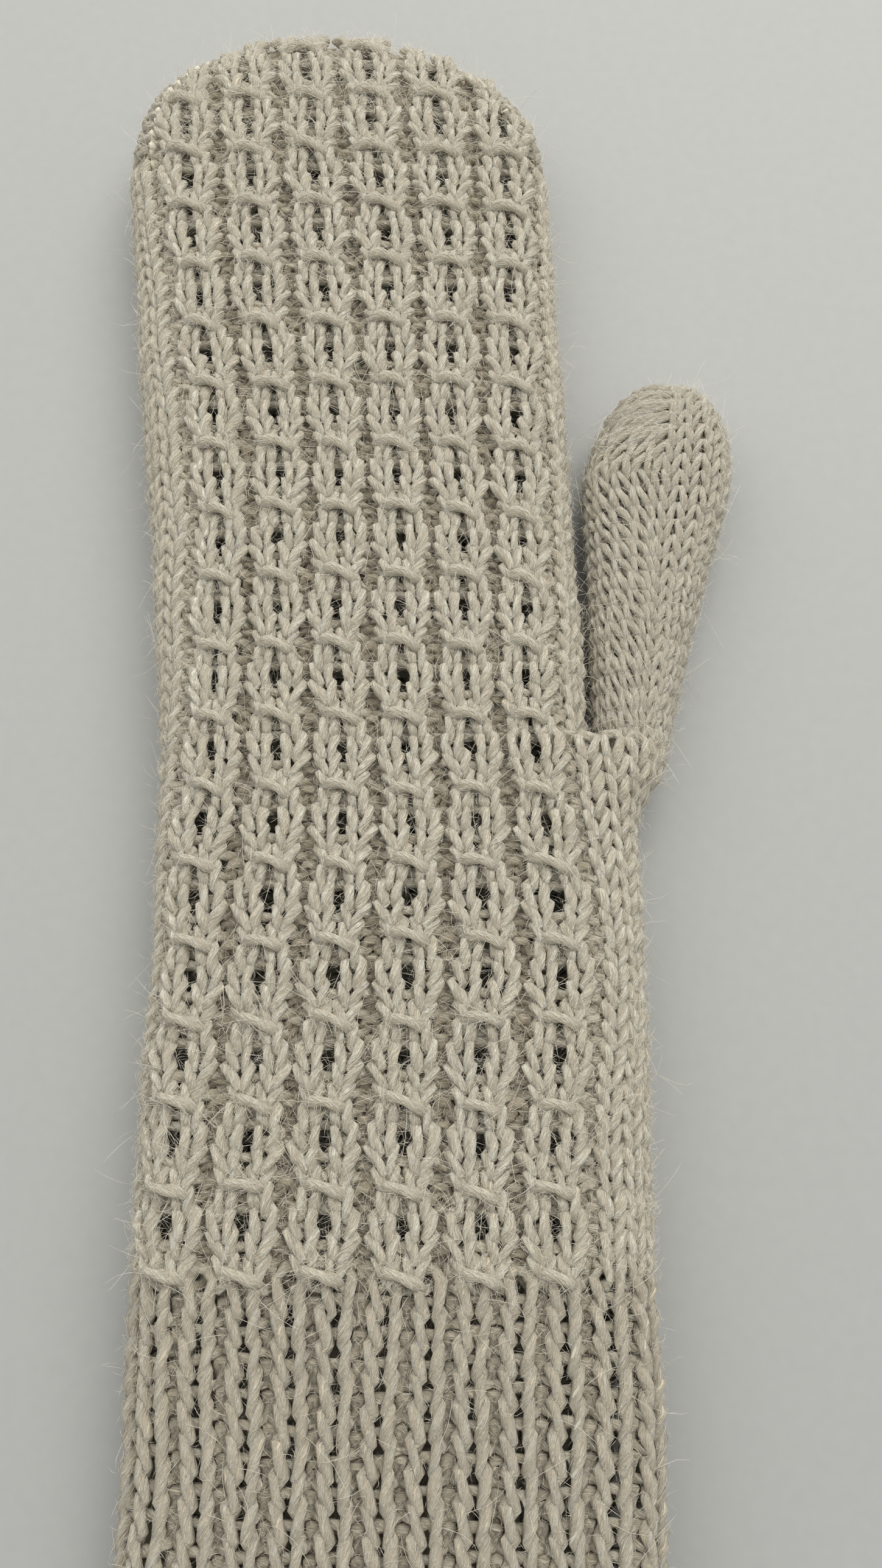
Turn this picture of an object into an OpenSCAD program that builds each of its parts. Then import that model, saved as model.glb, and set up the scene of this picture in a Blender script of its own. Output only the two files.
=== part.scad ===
// A knitted mitten lying flat: back of the hand up, fingertips along +Y, thumb on the +X side.
// The flat rest face is z = 0, and the origin is at the middle of the underside's outer box.

/* [Fabric] */
// Wall of knitted fabric, from the inside face to the tops of the stitches
wall = 3; // [2:0.25:4]
// Thickness of the flattened hand, rest face to back
thick = 18; // [16:0.5:24]
// How far the middle of the back stands above its edges
back_bulge = 1.5; // [0:0.25:3]
// Yarn thickness, as the woven-in ends show it
yarn_d = 2; // [1.5:0.25:3]
// Length of each woven-in yarn end
tail_len = 24; // [12:1:30]

/* [Widths] */
// Flat width of the ribbed cuff
cuff_w = 81; // [70:1:95]
// Flat width of the hand below the thumb
hand_w = 82; // [70:1:95]
// Flat width just above the thumb opening
finger_base_w = 74; // [62:1:84]
// Flat width where the crown starts
fingertip_w = 82; // [70:1:95]

/* [Lengths] */
// Ribbed cuff, cast-on edge to the first cabled round
cuff_len = 75; // [50:1:95]
// Cuff to the thumb opening
hand_len = 84.5; // [65:0.5:100]
// Thumb opening to the start of the crown
finger_len = 117; // [100:1:135]
// Rounded crown
crown_len = 34.5; // [25:0.5:45]
// Sideways lean of the finger tube towards the little finger, over finger_len
finger_lean = 9; // [0:0.5:14]
// Further lean over the crown
crown_lean = 5; // [0:0.5:8]
// Gathered stitches at the very tip
closure_len = 2; // [1:0.25:3]
// Cast-on edge
cast_on_len = 3; // [2:0.5:5]

/* [Thumb] */
// Widest part of the thumb
thumb_w = 27.4; // [22:0.2:34]
// Width at the root of the thumb
thumb_base_w = 13; // [11:0.5:18]
// Thickness of the thumb
thumb_thick = 16; // [13:0.5:20]
// Thumb opening to the widest part
thumb_len = 50; // [35:1:65]
// Rounded end of the thumb
thumb_tip_len = 23; // [15:1:30]
// Lean of the thumb away from the fingers, in degrees
thumb_lean = 8; // [4:1:20]
// Flare of the hand below the thumb opening
flare_len = 14; // [8:1:24]
// Space between thumb and fingers at the root
thumb_gap = 0.5; // [0.4:0.1:2]

/* [Stitch relief] */
// Raised columns of eyelet cables on the back
cable_columns = 6; // [4:1:8]
// Depth of the gutters between them
cable_depth = 1; // [0.5:0.1:1.5]
// Ribs across one side of the cuff
cuff_ribs = 12; // [8:2:16]
// Depth of the gutters between the ribs
rib_depth = 0.8; // [0.4:0.1:1.5]

/* [Folds] */
// Bend at the wrist, each way, in degrees
wrist_bend = 40; // [20:5:45]
// Bend at the knuckles, towards the palm
knuckle_bend = 60; // [30:5:70]
// Bend at the middle of the fingers, towards the palm
finger_bend = 60; // [30:5:70]
// Swing of the thumb away from the fingers
thumb_swing = 45; // [20:5:50]
// Thumb opening to the knuckle fold
knuckle_up = 31; // [20:1:38]
// Thumb opening to the middle finger fold
finger_fold_up = 78; // [66:1:86]
// Space left between stiff sections at full bend
fold_gap = 0.4; // [0.3:0.1:1]

/* [Hidden] */

cream = "#e9e4d8";
shade = "#d9d3c4";

// The three knitted tubes
CUFF = 0;   // cuff and hand below the thumb
HAND = 1;   // everything above the thumb opening
THUMB = 2;

// Steps around one section: each side arc, the back and the palm
arc_n = 8;
back_n = 4 * cable_columns;
palm_n = 2 * cuff_ribs;
around = 2 * arc_n + back_n + palm_n;
back_k = arc_n;
outer_k = arc_n + back_n;
palm_k = 2 * arc_n + back_n;

// Places along the hand, from the cast-on edge up
y_edge = -(cuff_len + hand_len + finger_len + crown_len) / 2;
y_wrist = y_edge + cuff_len;
y_thumb = y_wrist + hand_len;
y_crown = y_thumb + finger_len;
y_tip = y_crown + crown_len;
y_knuckle = y_thumb + knuckle_up;
y_finger = y_thumb + finger_fold_up;
y_thumb_wide = y_thumb + thumb_len;
y_thumb_tip = y_thumb_wide + thumb_tip_len;

// Half the length of knitting that each fold takes up
deep = thick / 2;
wrist_half = (deep + back_bulge) * tan(wrist_bend / 2) + fold_gap;
knuckle_half = deep * tan(knuckle_bend / 2) + fold_gap;
finger_half = deep * tan(finger_bend / 2) + fold_gap;
thumb_root_half = (thumb_base_w / 2 + 1) * tan(thumb_swing / 2) + fold_gap;
y_wrist_fold = y_wrist - wrist_half;
y_thumb_fold = y_thumb + thumb_root_half;

// Across the hand, measured from the palm's own middle
finger_x = (finger_base_w - hand_w) / 2;
thumb_x = finger_x + finger_base_w / 2 + thumb_gap + thumb_base_w / 2;
flare = thumb_x + thumb_base_w / 2 - hand_w / 2;
x_left = finger_x - finger_lean - fingertip_w / 2;
x_right = thumb_x + thumb_len * tan(thumb_lean) + thumb_w / 2;
x_shift = -(x_left + x_right) / 2;

// How far the tips lift off the rest face as they thin out
tip_lift = 0.35;
// Narrowest half-width left at the very tip
tip_half = 0.5;
// Least share of a section's half-width that stays flat between its side arcs
least_flat = 0.15;
// Space between the crotch web and the hand around it
web_fit = 0.1;

function part(y, from, to) = min(max((y - from) / (to - from), 0), 1);
function smooth(t) = t * t * (3 - 2 * t);
function flared(y) = flare / 2 * smooth(part(y, y_thumb - flare_len, y_thumb));
function round_end(t) = sqrt(max(1 - t * t, 0));
function blunt_end(t) = sqrt(max(1 - t * t * t, 0));

// Middle line, half-width and half-thickness of a tube at y
function middle(tube, y) = x_shift + (
    tube == CUFF ? flared(y)
    : tube == HAND ? finger_x - finger_lean * part(y, y_thumb, y_crown)
        - crown_lean * pow(part(y, y_crown, y_tip), 2)
    : thumb_x + (y - y_thumb) * tan(thumb_lean));
function half_width(tube, y) =
    tube == CUFF ? (cuff_w + (hand_w - cuff_w) * part(y, y_edge, y_wrist)) / 2 + flared(y)
    : tube == HAND ? (finger_base_w + (fingertip_w - finger_base_w) * part(y, y_thumb, y_crown)) / 2
        * round_end(part(y, y_crown, y_tip))
    : (thumb_base_w + (thumb_w - thumb_base_w) * part(y, y_thumb, y_thumb_wide)) / 2
        * round_end(part(y, y_thumb_wide, y_thumb_tip));
function half_deep(tube, y) =
    tube == CUFF ? deep
    : tube == HAND ? deep * blunt_end(part(y, y_crown, y_tip))
    : thumb_thick / 2 * blunt_end(part(y, y_thumb_wide, y_thumb_tip));
function full_deep(tube) = tube == THUMB ? thumb_thick / 2 : deep;
function bulge(tube) = tube == THUMB ? 0 : back_bulge;

// Gutters in the outer face: cables are four steps apart and ribs two
function cable_relief(k) = k > back_k && k < outer_k && (k - back_k) % 4 == 0 ? cable_depth : 0;
function rib_relief(k) = k % 2 == 0 ? rib_depth : 0;
function plain_relief(k) = 0;

// One point of a section, k steps around it from the foot of the +X side, sunk below the outer face
function section_point(tube, y, k, sunk) =
    let (a = max(half_width(tube, y) - sunk, tip_half),
         b = max(half_deep(tube, y) - sunk, tip_half / 2),
         r = min(b, a * (1 - least_flat)),
         flat = a - r,
         mid_z = half_deep(tube, y) + tip_lift * (full_deep(tube) - half_deep(tube, y)),
         on_back = 1 - 2 * (k - back_k) / back_n,
         on_palm = 1 - 2 * (k - palm_k) / palm_n,
         turn = k < back_k ? 180 * k / arc_n - 90 : 90 + 180 * (k - outer_k) / arc_n,
         rise = bulge(tube) * half_deep(tube, y) / full_deep(tube) * (1 - on_back * on_back),
         xz = k < back_k ? [flat + r * cos(turn), b * sin(turn)]
            : k < outer_k ? [flat * on_back, b + rise]
            : k < palm_k ? [-flat + r * cos(turn), b * sin(turn)]
            : [-flat * on_palm, -b])
    [middle(tube, y) + xz[0], y, mid_z + xz[1]];

function flatten(rows) = [for (row = rows) for (p = row) p];

// A patch of fabric over the rows ys and the steps k0 to k1, or right round when k1 - k0 is the whole section
module fabric(tube, ys, k0 = 0, k1 = around, relief = function(k) plain_relief(k), tip_inset = 0) {
    ring = k1 - k0 == around;
    m = ring ? around : k1 - k0 + 1;
    rows = len(ys);
    last = rows - 1;
    outer = [for (y = ys) [for (j = [0 : m - 1])
        section_point(tube, y, (k0 + j) % around, relief((k0 + j) % around))]];
    inner = [for (i = [0 : last]) [for (j = [0 : m - 1])
        section_point(tube, ys[i] - (i == last ? tip_inset : 0), (k0 + j) % around, wall)]];
    function o(i, j) = i * m + j % m;
    function n(i, j) = rows * m + i * m + j % m;
    steps = ring ? m : m - 1;
    sides = [for (i = [0 : last - 1]) for (j = [0 : steps - 1]) each [
        [o(i, j), o(i, j + 1), o(i + 1, j + 1)], [o(i, j), o(i + 1, j + 1), o(i + 1, j)],
        [n(i, j), n(i + 1, j + 1), n(i, j + 1)], [n(i, j), n(i + 1, j), n(i + 1, j + 1)]]];
    ends = [for (j = [0 : steps - 1]) each [
        [n(0, j), n(0, j + 1), o(0, j + 1)], [n(0, j), o(0, j + 1), o(0, j)],
        [o(last, j), o(last, j + 1), n(last, j + 1)], [o(last, j), n(last, j + 1), n(last, j)]]];
    edges = ring ? [] : [for (i = [0 : last - 1]) each [
        [o(i, 0), o(i + 1, 0), n(i + 1, 0)], [o(i, 0), n(i + 1, 0), n(i, 0)],
        [o(i + 1, m - 1), o(i, m - 1), n(i, m - 1)],
        [o(i + 1, m - 1), n(i, m - 1), n(i + 1, m - 1)]]];
    polyhedron(points = concat(flatten(outer), flatten(inner)), faces = concat(sides, ends, edges));
}

// The solid gathered end of a tube, from y0 to its tip
module gathered_end(tube, y0, y1) {
    ys = [for (t = [0, 0.6, 0.9, 1]) y0 + (y1 - y0) * t];
    rows = len(ys);
    rings = [for (y = ys) [for (k = [0 : around - 1]) section_point(tube, y, k, 0)]];
    hubs = [for (ring = [rings[0], rings[rows - 1]])
        (ring[back_k + back_n / 2] + ring[palm_k + palm_n / 2]) / 2];
    sides = [for (i = [0 : rows - 2]) for (k = [0 : around - 1]) each [
        [i * around + k, i * around + (k + 1) % around, (i + 1) * around + (k + 1) % around],
        [i * around + k, (i + 1) * around + (k + 1) % around, (i + 1) * around + k]]];
    caps = [for (k = [0 : around - 1]) each [
        [(k + 1) % around, k, rows * around],
        [(rows - 1) * around + k, (rows - 1) * around + (k + 1) % around, rows * around + 1]]];
    polyhedron(points = concat(flatten(rings), hubs), faces = concat(sides, caps));
}

// A woven-in yarn end, lying on the inside of the palm side
module yarn_end(at, turned) {
    translate(at) rotate([-90, 0, -turned]) {
        cylinder(h = tail_len, d = yarn_d, $fn = 24);
        sphere(d = yarn_d, $fn = 24);
        translate([0, 0, tail_len]) sphere(d = yarn_d, $fn = 24);
    }
}

// Rows of a curve from y0 to y1
function rows_of(y0, y1, n) = [for (i = [0 : n]) y0 + (y1 - y0) * i / n];
// Rows that crowd towards a rounded tip
function crown_rows(y0, y1, n) = [for (i = [0 : n]) y0 + (y1 - y0) * sin(90 * i / n)];

low_rows = concat([y_wrist], rows_of(y_thumb - flare_len, y_thumb, 4));
upper_rows = [y_thumb, y_knuckle - knuckle_half];
finger_rows = [y_knuckle + knuckle_half, y_finger - finger_half];
fingertip_rows = [y_finger + finger_half, y_crown];
tail_floor = wall + yarn_d / 2;
tail_start = y_crown - tail_len - yarn_d;
cuff_tail_start = y_edge + cast_on_len + yarn_d;
// Where a yarn end that starts at y lies clear of the tube's -X side along its whole length
function left_side(tube, y) = middle(tube, y) - half_width(tube, y);
function tail_x(tube, y) = max(left_side(tube, y), left_side(tube, y + tail_len)) + deep + yarn_d;

module cast_on_edge() color(shade) fabric(CUFF, [y_edge, y_edge + cast_on_len]);
module ribbed_cuff() color(cream)
    fabric(CUFF, [y_edge + cast_on_len, y_wrist_fold - wrist_half], relief = function(k) rib_relief(k));
module cast_on_tail() color(shade)
    yarn_end([tail_x(CUFF, cuff_tail_start), cuff_tail_start, tail_floor], 0);

module wrist_rounds() color(shade)
    fabric(CUFF, [y_wrist_fold - wrist_half, y_wrist], relief = function(k) rib_relief(k));
module hand_back_cables() color(cream)
    fabric(CUFF, low_rows, back_k, outer_k, function(k) cable_relief(k));
module hand_palm() color(cream) fabric(CUFF, low_rows, palm_k, around);
module hand_outer_band() color(shade) fabric(CUFF, low_rows, outer_k, palm_k);
module hand_thumb_band() color(shade) fabric(CUFF, low_rows, 0, back_k);

// Closes the corners between the finger tube and the thumb, inside the hand
module thumb_crotch_web() color(cream)
    translate([0, y_thumb, 0]) rotate([90, 0, 0]) linear_extrude(wall) difference() {
        intersection() {
            tube_outline(CUFF, wall + web_fit, y_thumb);
            tube_outline(CUFF, wall + web_fit, y_thumb - wall);
        }
        tube_outline(HAND, 0, y_thumb);
        tube_outline(THUMB, 0, y_thumb);
    }
module tube_outline(tube, sunk, y)
    polygon([for (k = [0 : around - 1]) let (p = section_point(tube, y, k, sunk)) [p[0], p[2]]]);

module upper_hand_cables() color(cream)
    fabric(HAND, upper_rows, back_k, outer_k, function(k) cable_relief(k));
module upper_hand_palm() color(cream) fabric(HAND, upper_rows, palm_k, around);
module upper_outer_band() color(shade) fabric(HAND, upper_rows, outer_k, palm_k);
module upper_inner_band() color(shade) fabric(HAND, upper_rows, 0, back_k);
module knuckle_rounds() color(shade)
    fabric(HAND, [y_knuckle - knuckle_half, y_knuckle + knuckle_half],
        relief = function(k) cable_relief(k));

module finger_cables() color(cream)
    fabric(HAND, finger_rows, back_k, outer_k, function(k) cable_relief(k));
module finger_palm() color(cream) fabric(HAND, finger_rows, palm_k, around);
module finger_outer_band() color(shade) fabric(HAND, finger_rows, outer_k, palm_k);
module finger_inner_band() color(shade) fabric(HAND, finger_rows, 0, back_k);
module finger_rounds() color(shade)
    fabric(HAND, [y_finger - finger_half, y_finger + finger_half],
        relief = function(k) cable_relief(k));

module fingertip_cables() color(cream)
    fabric(HAND, fingertip_rows, back_k, outer_k, function(k) cable_relief(k));
module fingertip_palm() color(cream) fabric(HAND, fingertip_rows, palm_k, around);
module fingertip_outer_band() color(shade) fabric(HAND, fingertip_rows, outer_k, palm_k);
module fingertip_inner_band() color(shade) fabric(HAND, fingertip_rows, 0, back_k);
module crown_rounds() color(cream)
    fabric(HAND, crown_rows(y_crown, y_tip - closure_len, 7), tip_inset = wall / 2);
module crown_closure() color(shade) gathered_end(HAND, y_tip - closure_len, y_tip);
module crown_tail() color(shade) yarn_end([tail_x(HAND, tail_start), tail_start, tail_floor], 0);

module thumb_root_rounds() color(shade)
    fabric(THUMB, [y_thumb, y_thumb_fold + thumb_root_half]);
thumb_rows = [y_thumb_fold + thumb_root_half, y_thumb_wide];
module thumb_back() color(cream) fabric(THUMB, thumb_rows, arc_n / 2, outer_k + arc_n / 2);
module thumb_front() color(shade)
    fabric(THUMB, thumb_rows, outer_k + arc_n / 2, around + arc_n / 2);
module thumb_tip_rounds() color(cream)
    fabric(THUMB, crown_rows(y_thumb_wide, y_thumb_tip - closure_len, 6), tip_inset = wall / 2);
module thumb_closure() color(shade) gathered_end(THUMB, y_thumb_tip - closure_len, y_thumb_tip);
thumb_tail_start = y_thumb_wide - tail_len - yarn_d;
module thumb_tail() color(shade)
    yarn_end([middle(THUMB, thumb_tail_start), thumb_tail_start, tail_floor], thumb_lean);

cast_on_edge();
ribbed_cuff();
cast_on_tail();
wrist_rounds();
hand_back_cables();
hand_palm();
hand_outer_band();
hand_thumb_band();
thumb_crotch_web();
upper_hand_cables();
upper_hand_palm();
upper_outer_band();
upper_inner_band();
knuckle_rounds();
finger_cables();
finger_palm();
finger_outer_band();
finger_inner_band();
finger_rounds();
fingertip_cables();
fingertip_palm();
fingertip_outer_band();
fingertip_inner_band();
crown_rounds();
crown_closure();
crown_tail();
thumb_root_rounds();
thumb_back();
thumb_front();
thumb_tip_rounds();
thumb_closure();
thumb_tail();
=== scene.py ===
import math

import bpy
import numpy as np
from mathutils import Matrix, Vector


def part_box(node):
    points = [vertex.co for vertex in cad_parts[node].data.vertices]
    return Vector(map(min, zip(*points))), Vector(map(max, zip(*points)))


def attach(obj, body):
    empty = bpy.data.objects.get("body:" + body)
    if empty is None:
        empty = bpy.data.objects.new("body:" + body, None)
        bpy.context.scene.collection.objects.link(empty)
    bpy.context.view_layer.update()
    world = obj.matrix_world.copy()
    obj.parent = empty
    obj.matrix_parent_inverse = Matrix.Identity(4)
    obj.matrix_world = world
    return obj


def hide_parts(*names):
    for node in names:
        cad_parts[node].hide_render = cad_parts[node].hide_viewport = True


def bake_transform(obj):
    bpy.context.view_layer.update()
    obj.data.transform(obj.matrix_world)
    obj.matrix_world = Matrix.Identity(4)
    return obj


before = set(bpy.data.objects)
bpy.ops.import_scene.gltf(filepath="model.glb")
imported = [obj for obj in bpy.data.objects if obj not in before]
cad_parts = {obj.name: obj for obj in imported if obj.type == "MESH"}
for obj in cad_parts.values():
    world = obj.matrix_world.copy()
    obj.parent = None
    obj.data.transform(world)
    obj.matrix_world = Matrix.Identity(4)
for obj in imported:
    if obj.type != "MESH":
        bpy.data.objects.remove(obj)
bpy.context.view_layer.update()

# ---------- camera ----------
# straight over the hand, leaning a little from the cuff towards the fingertips
cameraSet = {
    "aim": (0.0039, -0.0018, 0.009),
    "above": 0.1972,
    "behind": 0.0493,
    "lens": 27.04,
    "sensor": 36.0,
    "nearest": 0.005,
    "farthest": 20,
}


def addCamera(values):
    aim = Vector(values["aim"])
    place = aim + Vector((0, -values["behind"], values["above"]))
    bpy.ops.object.camera_add(location=place)
    camera = bpy.context.object
    camera.name = "camera"
    camera.rotation_euler = (math.atan2(values["behind"], values["above"]), 0, 0)
    camera.data.sensor_fit = "VERTICAL"
    camera.data.sensor_height = values["sensor"]
    camera.data.lens = values["lens"]
    camera.data.clip_start = values["nearest"]
    camera.data.clip_end = values["farthest"]
    bpy.context.scene.camera = camera


addCamera(cameraSet)
print("camera placed")

# ---------- the mitten's shape, in millimetres ----------
mm = 0.001


def yLow(node):
    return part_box(node)[0][1] / mm


def yHigh(node):
    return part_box(node)[1][1] / mm


shape = {
    "edge": yLow("cast_on_edge"),
    "wrist": yLow("hand_palm"),
    "thumb": yHigh("hand_palm"),
    "crown": yLow("crown_rounds"),
    "tip": yHigh("crown_closure"),
    "thumbWide": yLow("thumb_tip_rounds"),
    "thumbTip": yHigh("thumb_closure"),
    "wall": 3.0,
    "deep": 9.0,
    "bulge": 1.5,
    "cuffHalf": 40.5,
    "handHalf": 41.0,
    "fingerBaseHalf": 37.0,
    "fingertipHalf": 41.0,
    "fingerLean": 9.0,
    "crownLean": 5.0,
    "flareLength": 14.0,
    "thumbHalf": 13.7,
    "thumbBaseHalf": 6.5,
    "thumbDeep": 8.0,
    "thumbGap": 0.5,
    "thumbLean": math.tan(math.radians(8)),
    "tipLift": 0.35,
    "leastFlat": 0.15,
    "leastHalf": 0.4,
    "leastDeep": 0.3,
}
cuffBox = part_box("cast_on_edge")
shape["middle"] = (cuffBox[0][0] + cuffBox[1][0]) / 2 / mm
shape["fingerX"] = shape["fingerBaseHalf"] - shape["handHalf"]
shape["thumbX"] = shape["fingerX"] + shape["fingerBaseHalf"] + shape["thumbGap"] + shape["thumbBaseHalf"]
shape["flare"] = shape["thumbX"] + shape["thumbBaseHalf"] - shape["handHalf"]


def share(y, low, high):
    return np.clip((y - low) / (high - low), 0, 1)


def flared(y):
    t = share(y, shape["thumb"] - shape["flareLength"], shape["thumb"])
    return shape["flare"] / 2 * t * t * (3 - 2 * t)


# each tube gives (middle x, half width, half depth, full half depth) of the outer skin at y
def cuffTube(y):
    widening = share(y, shape["edge"], shape["wrist"])
    half = shape["cuffHalf"] + (shape["handHalf"] - shape["cuffHalf"]) * widening
    return shape["middle"] + flared(y), half + flared(y), shape["deep"] + 0 * y, shape["deep"]


def handTube(y, inset=0.0):
    up = share(y, shape["thumb"], shape["crown"])
    over = share(y, shape["crown"], shape["tip"] - inset)
    middle = shape["middle"] + shape["fingerX"] - shape["fingerLean"] * up - shape["crownLean"] * over**2
    half = shape["fingerBaseHalf"] + (shape["fingertipHalf"] - shape["fingerBaseHalf"]) * up
    return middle, half * np.sqrt(1 - over**2), shape["deep"] * np.sqrt(1 - over**3), shape["deep"]


def thumbTube(y, inset=0.0):
    up = share(y, shape["thumb"], shape["thumbWide"])
    over = share(y, shape["thumbWide"], shape["thumbTip"] - inset)
    middle = shape["middle"] + shape["thumbX"] + (y - shape["thumb"]) * shape["thumbLean"]
    half = shape["thumbBaseHalf"] + (shape["thumbHalf"] - shape["thumbBaseHalf"]) * up
    deep = shape["thumbDeep"]
    return middle, half * np.sqrt(1 - over**2), deep * np.sqrt(1 - over**3), deep


def section(tube, y):
    # middle layer of the fabric at y: middle x, flat half, arc radius, half depth, arc length, height
    middle, half, deep, full = tube(y)
    inset = shape["wall"] / 2
    a = np.maximum(half - inset, shape["leastHalf"])
    b = np.maximum(deep - inset, shape["leastDeep"])
    r = np.minimum(b, a * (1 - shape["leastFlat"]))
    quarter = math.pi / 2 * np.sqrt((r * r + b * b) / 2)
    return middle, a - r, r, b, quarter, deep + shape["tipLift"] * (full - deep)


def girth(tube, y):
    _, flat, _, _, quarter, _ = section(tube, y)
    return 4 * (flat + quarter)


def onTube(tube, u, y):
    # u runs round the tube from the middle of the back, towards the thumb side first
    middle, flat, r, b, quarter, midZ = section(tube, y)
    whole = 4 * (flat + quarter)
    s = (u + whole / 2) % whole - whole / 2
    side, s = np.sign(s), np.abs(s)
    turn = np.clip((s - flat) / quarter, 0, 2) * math.pi / 2
    under = flat - (s - flat - 2 * quarter)
    x = np.where(s < flat, s, np.where(turn < math.pi, flat + r * np.sin(turn), under))
    z = b * np.cos(turn)
    rise = shape["bulge"] if tube is not thumbTube else 0.0
    z = z + np.where(s < flat, rise * (1 - (s / np.maximum(flat, 0.01)) ** 2), 0)
    return np.stack([middle + side * x, y + 0 * x, midZ + z], -1)


def unit(vectors):
    return vectors / np.maximum(np.linalg.norm(vectors, axis=-1, keepdims=True), 1e-9)


# hand knitting is never quite even: columns meander and rows rise and fall
uneven = {"across": 0.42, "along": 0.38, "lift": 0.28, "slow": 0.55, "quick": 0.35, "probe": 0.05}


def meander(p, seed):
    # long and short waves that cross each other, each about as long as its divisors in millimetres
    x, y, z = p[..., 0], p[..., 1], p[..., 2]
    slow = np.sin(y / 9.1 + x / 15.7 + z / 8.0 + seed) + np.sin(x / 8.3 - y / 13.9 + 2.6 * seed)
    quick = np.sin(y / 4.1 - x / 6.7 + 4.1 * seed) + np.sin(x / 3.7 + y / 5.9 - z / 5.0 + 1.7 * seed)
    return uneven["slow"] * slow + uneven["quick"] * quick


def fabricPoint(surface, u, v, n):
    # a point n above the middle layer, with the direction that is outwards there
    step = uneven["probe"]
    across = unit(surface(u + step, v) - surface(u - step, v))
    along = unit(surface(u, v + step) - surface(u, v - step))
    out = unit(np.cross(across, along))
    p = surface(u, v)
    shift = across * (uneven["across"] * meander(p, 1.0))[..., None]
    shift += along * (uneven["along"] * meander(p, 2.0))[..., None]
    return p + shift + out * (n + uneven["lift"] * meander(p, 3.0))[..., None], out


def cuffSurface(u, v):
    return onTube(cuffTube, u, v)


crotchPress = {"nearest": 0.5, "farthest": 2.5, "press": 0.85}


def lowerSurface(u, v):
    # rows are pressed together at the thumb's crotch, and run on freely to either side of it
    crotch = shape["middle"] + shape["fingerX"] + shape["fingerBaseHalf"]
    away = np.abs(onTube(cuffTube, u, v)[..., 0] - crotch)
    free = share(away, crotchPress["nearest"], crotchPress["farthest"])
    over = np.maximum(v - shape["thumb"], 0)
    return onTube(cuffTube, u, v - over * crotchPress["press"] * (1 - free))


# over the crown v goes on as length along the fabric, so rows keep their height on the curve
def lengthTable(tube, start, end):
    steps = 200
    y = start + (end - start) * np.sin(np.linspace(0, math.pi / 2, steps))
    p = onTube(tube, 0 * y, y)
    length = np.concatenate([[0], np.cumsum(np.linalg.norm(np.diff(p, axis=0), axis=1))])
    return start + length, y


crownLengths = lengthTable(handTube, shape["crown"], shape["tip"] - shape["wall"] / 2)
thumbLengths = lengthTable(thumbTube, shape["thumbWide"], shape["thumbTip"] - shape["wall"] / 2)


def alongTable(v, table):
    return np.where(v < table[0][0], v, np.interp(v, table[0], table[1]))


def handSurface(u, v):
    return onTube(handTube, u, alongTable(v, crownLengths))


def thumbSurface(u, v):
    return onTube(thumbTube, u, alongTable(v, thumbLengths))


# ---------- yarn ----------
yarn = {
    "radius": 0.78,
    "sides": 7,
    "samples": 10,
    "lobe": 0.20,
    "turnLength": 11.0,
    "slub": 0.09,
    "slubLength": 7.3,
    "slubStep": 5.1,
    "grain": 0.03,
    "mapLength": 4,
    "seed": 7,
}
rng = np.random.default_rng(yarn["seed"])


class Skein:
    # the yarn paths of one piece, gathered before they are made into one mesh
    def __init__(self):
        self.points, self.outs, self.radii, self.paintedShadings = [], [], [], []

    def add(self, points, outs, radii, paintedShadings):
        self.points.append(points)
        self.outs.append(outs)
        self.radii.append(np.broadcast_to(radii, len(points)).astype(float))
        self.paintedShadings.append(np.broadcast_to(paintedShadings, len(points)).astype(float))


def tubeAlong(points, outs, radii, sides, lobe, twist):
    # rings of points round a path, and how far along it each ring is
    along = np.gradient(points, axis=0)
    along /= np.maximum(np.linalg.norm(along, axis=1, keepdims=True), 1e-9)
    side = np.cross(along, outs)
    side /= np.maximum(np.linalg.norm(side, axis=1, keepdims=True), 1e-9)
    up = np.cross(side, along)
    length = np.concatenate([[0], np.cumsum(np.linalg.norm(np.diff(points, axis=0), axis=1))])
    angle = np.arange(sides) / sides * 2 * math.pi
    reach = radii[:, None] * (1 + lobe * np.cos(2 * (angle[None, :] - twist * length[:, None])))
    rings = points[:, None, :] + reach[..., None] * (
        np.cos(angle)[None, :, None] * up[:, None, :] + np.sin(angle)[None, :, None] * side[:, None, :]
    )
    return rings, length


def meshOf(name, verts, quads, tris, paintedShading):
    # a mesh from arrays of points, four-sided faces and triangles, with the painted light and shade kept
    # on its points
    mesh = bpy.data.meshes.new(name)
    mesh.vertices.add(len(verts))
    mesh.vertices.foreach_set("co", (verts * mm).astype(np.float32).ravel())
    mesh.loops.add(quads.size + tris.size)
    mesh.loops.foreach_set("vertex_index", np.concatenate([quads.ravel(), tris.ravel()]).astype(np.int32))
    mesh.polygons.add(len(quads) + len(tris))
    starts = np.concatenate([np.arange(len(quads)) * 4, quads.size + np.arange(len(tris)) * 3])
    mesh.polygons.foreach_set("loop_start", starts.astype(np.int32))
    mesh.update(calc_edges=True)
    shade = mesh.attributes.new("paintedShading", "FLOAT", "POINT")
    shade.data.foreach_set("value", paintedShading.astype(np.float32))
    mesh.shade_smooth()
    piece = bpy.data.objects.new(name, mesh)
    bpy.context.collection.objects.link(piece)
    return piece


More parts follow.
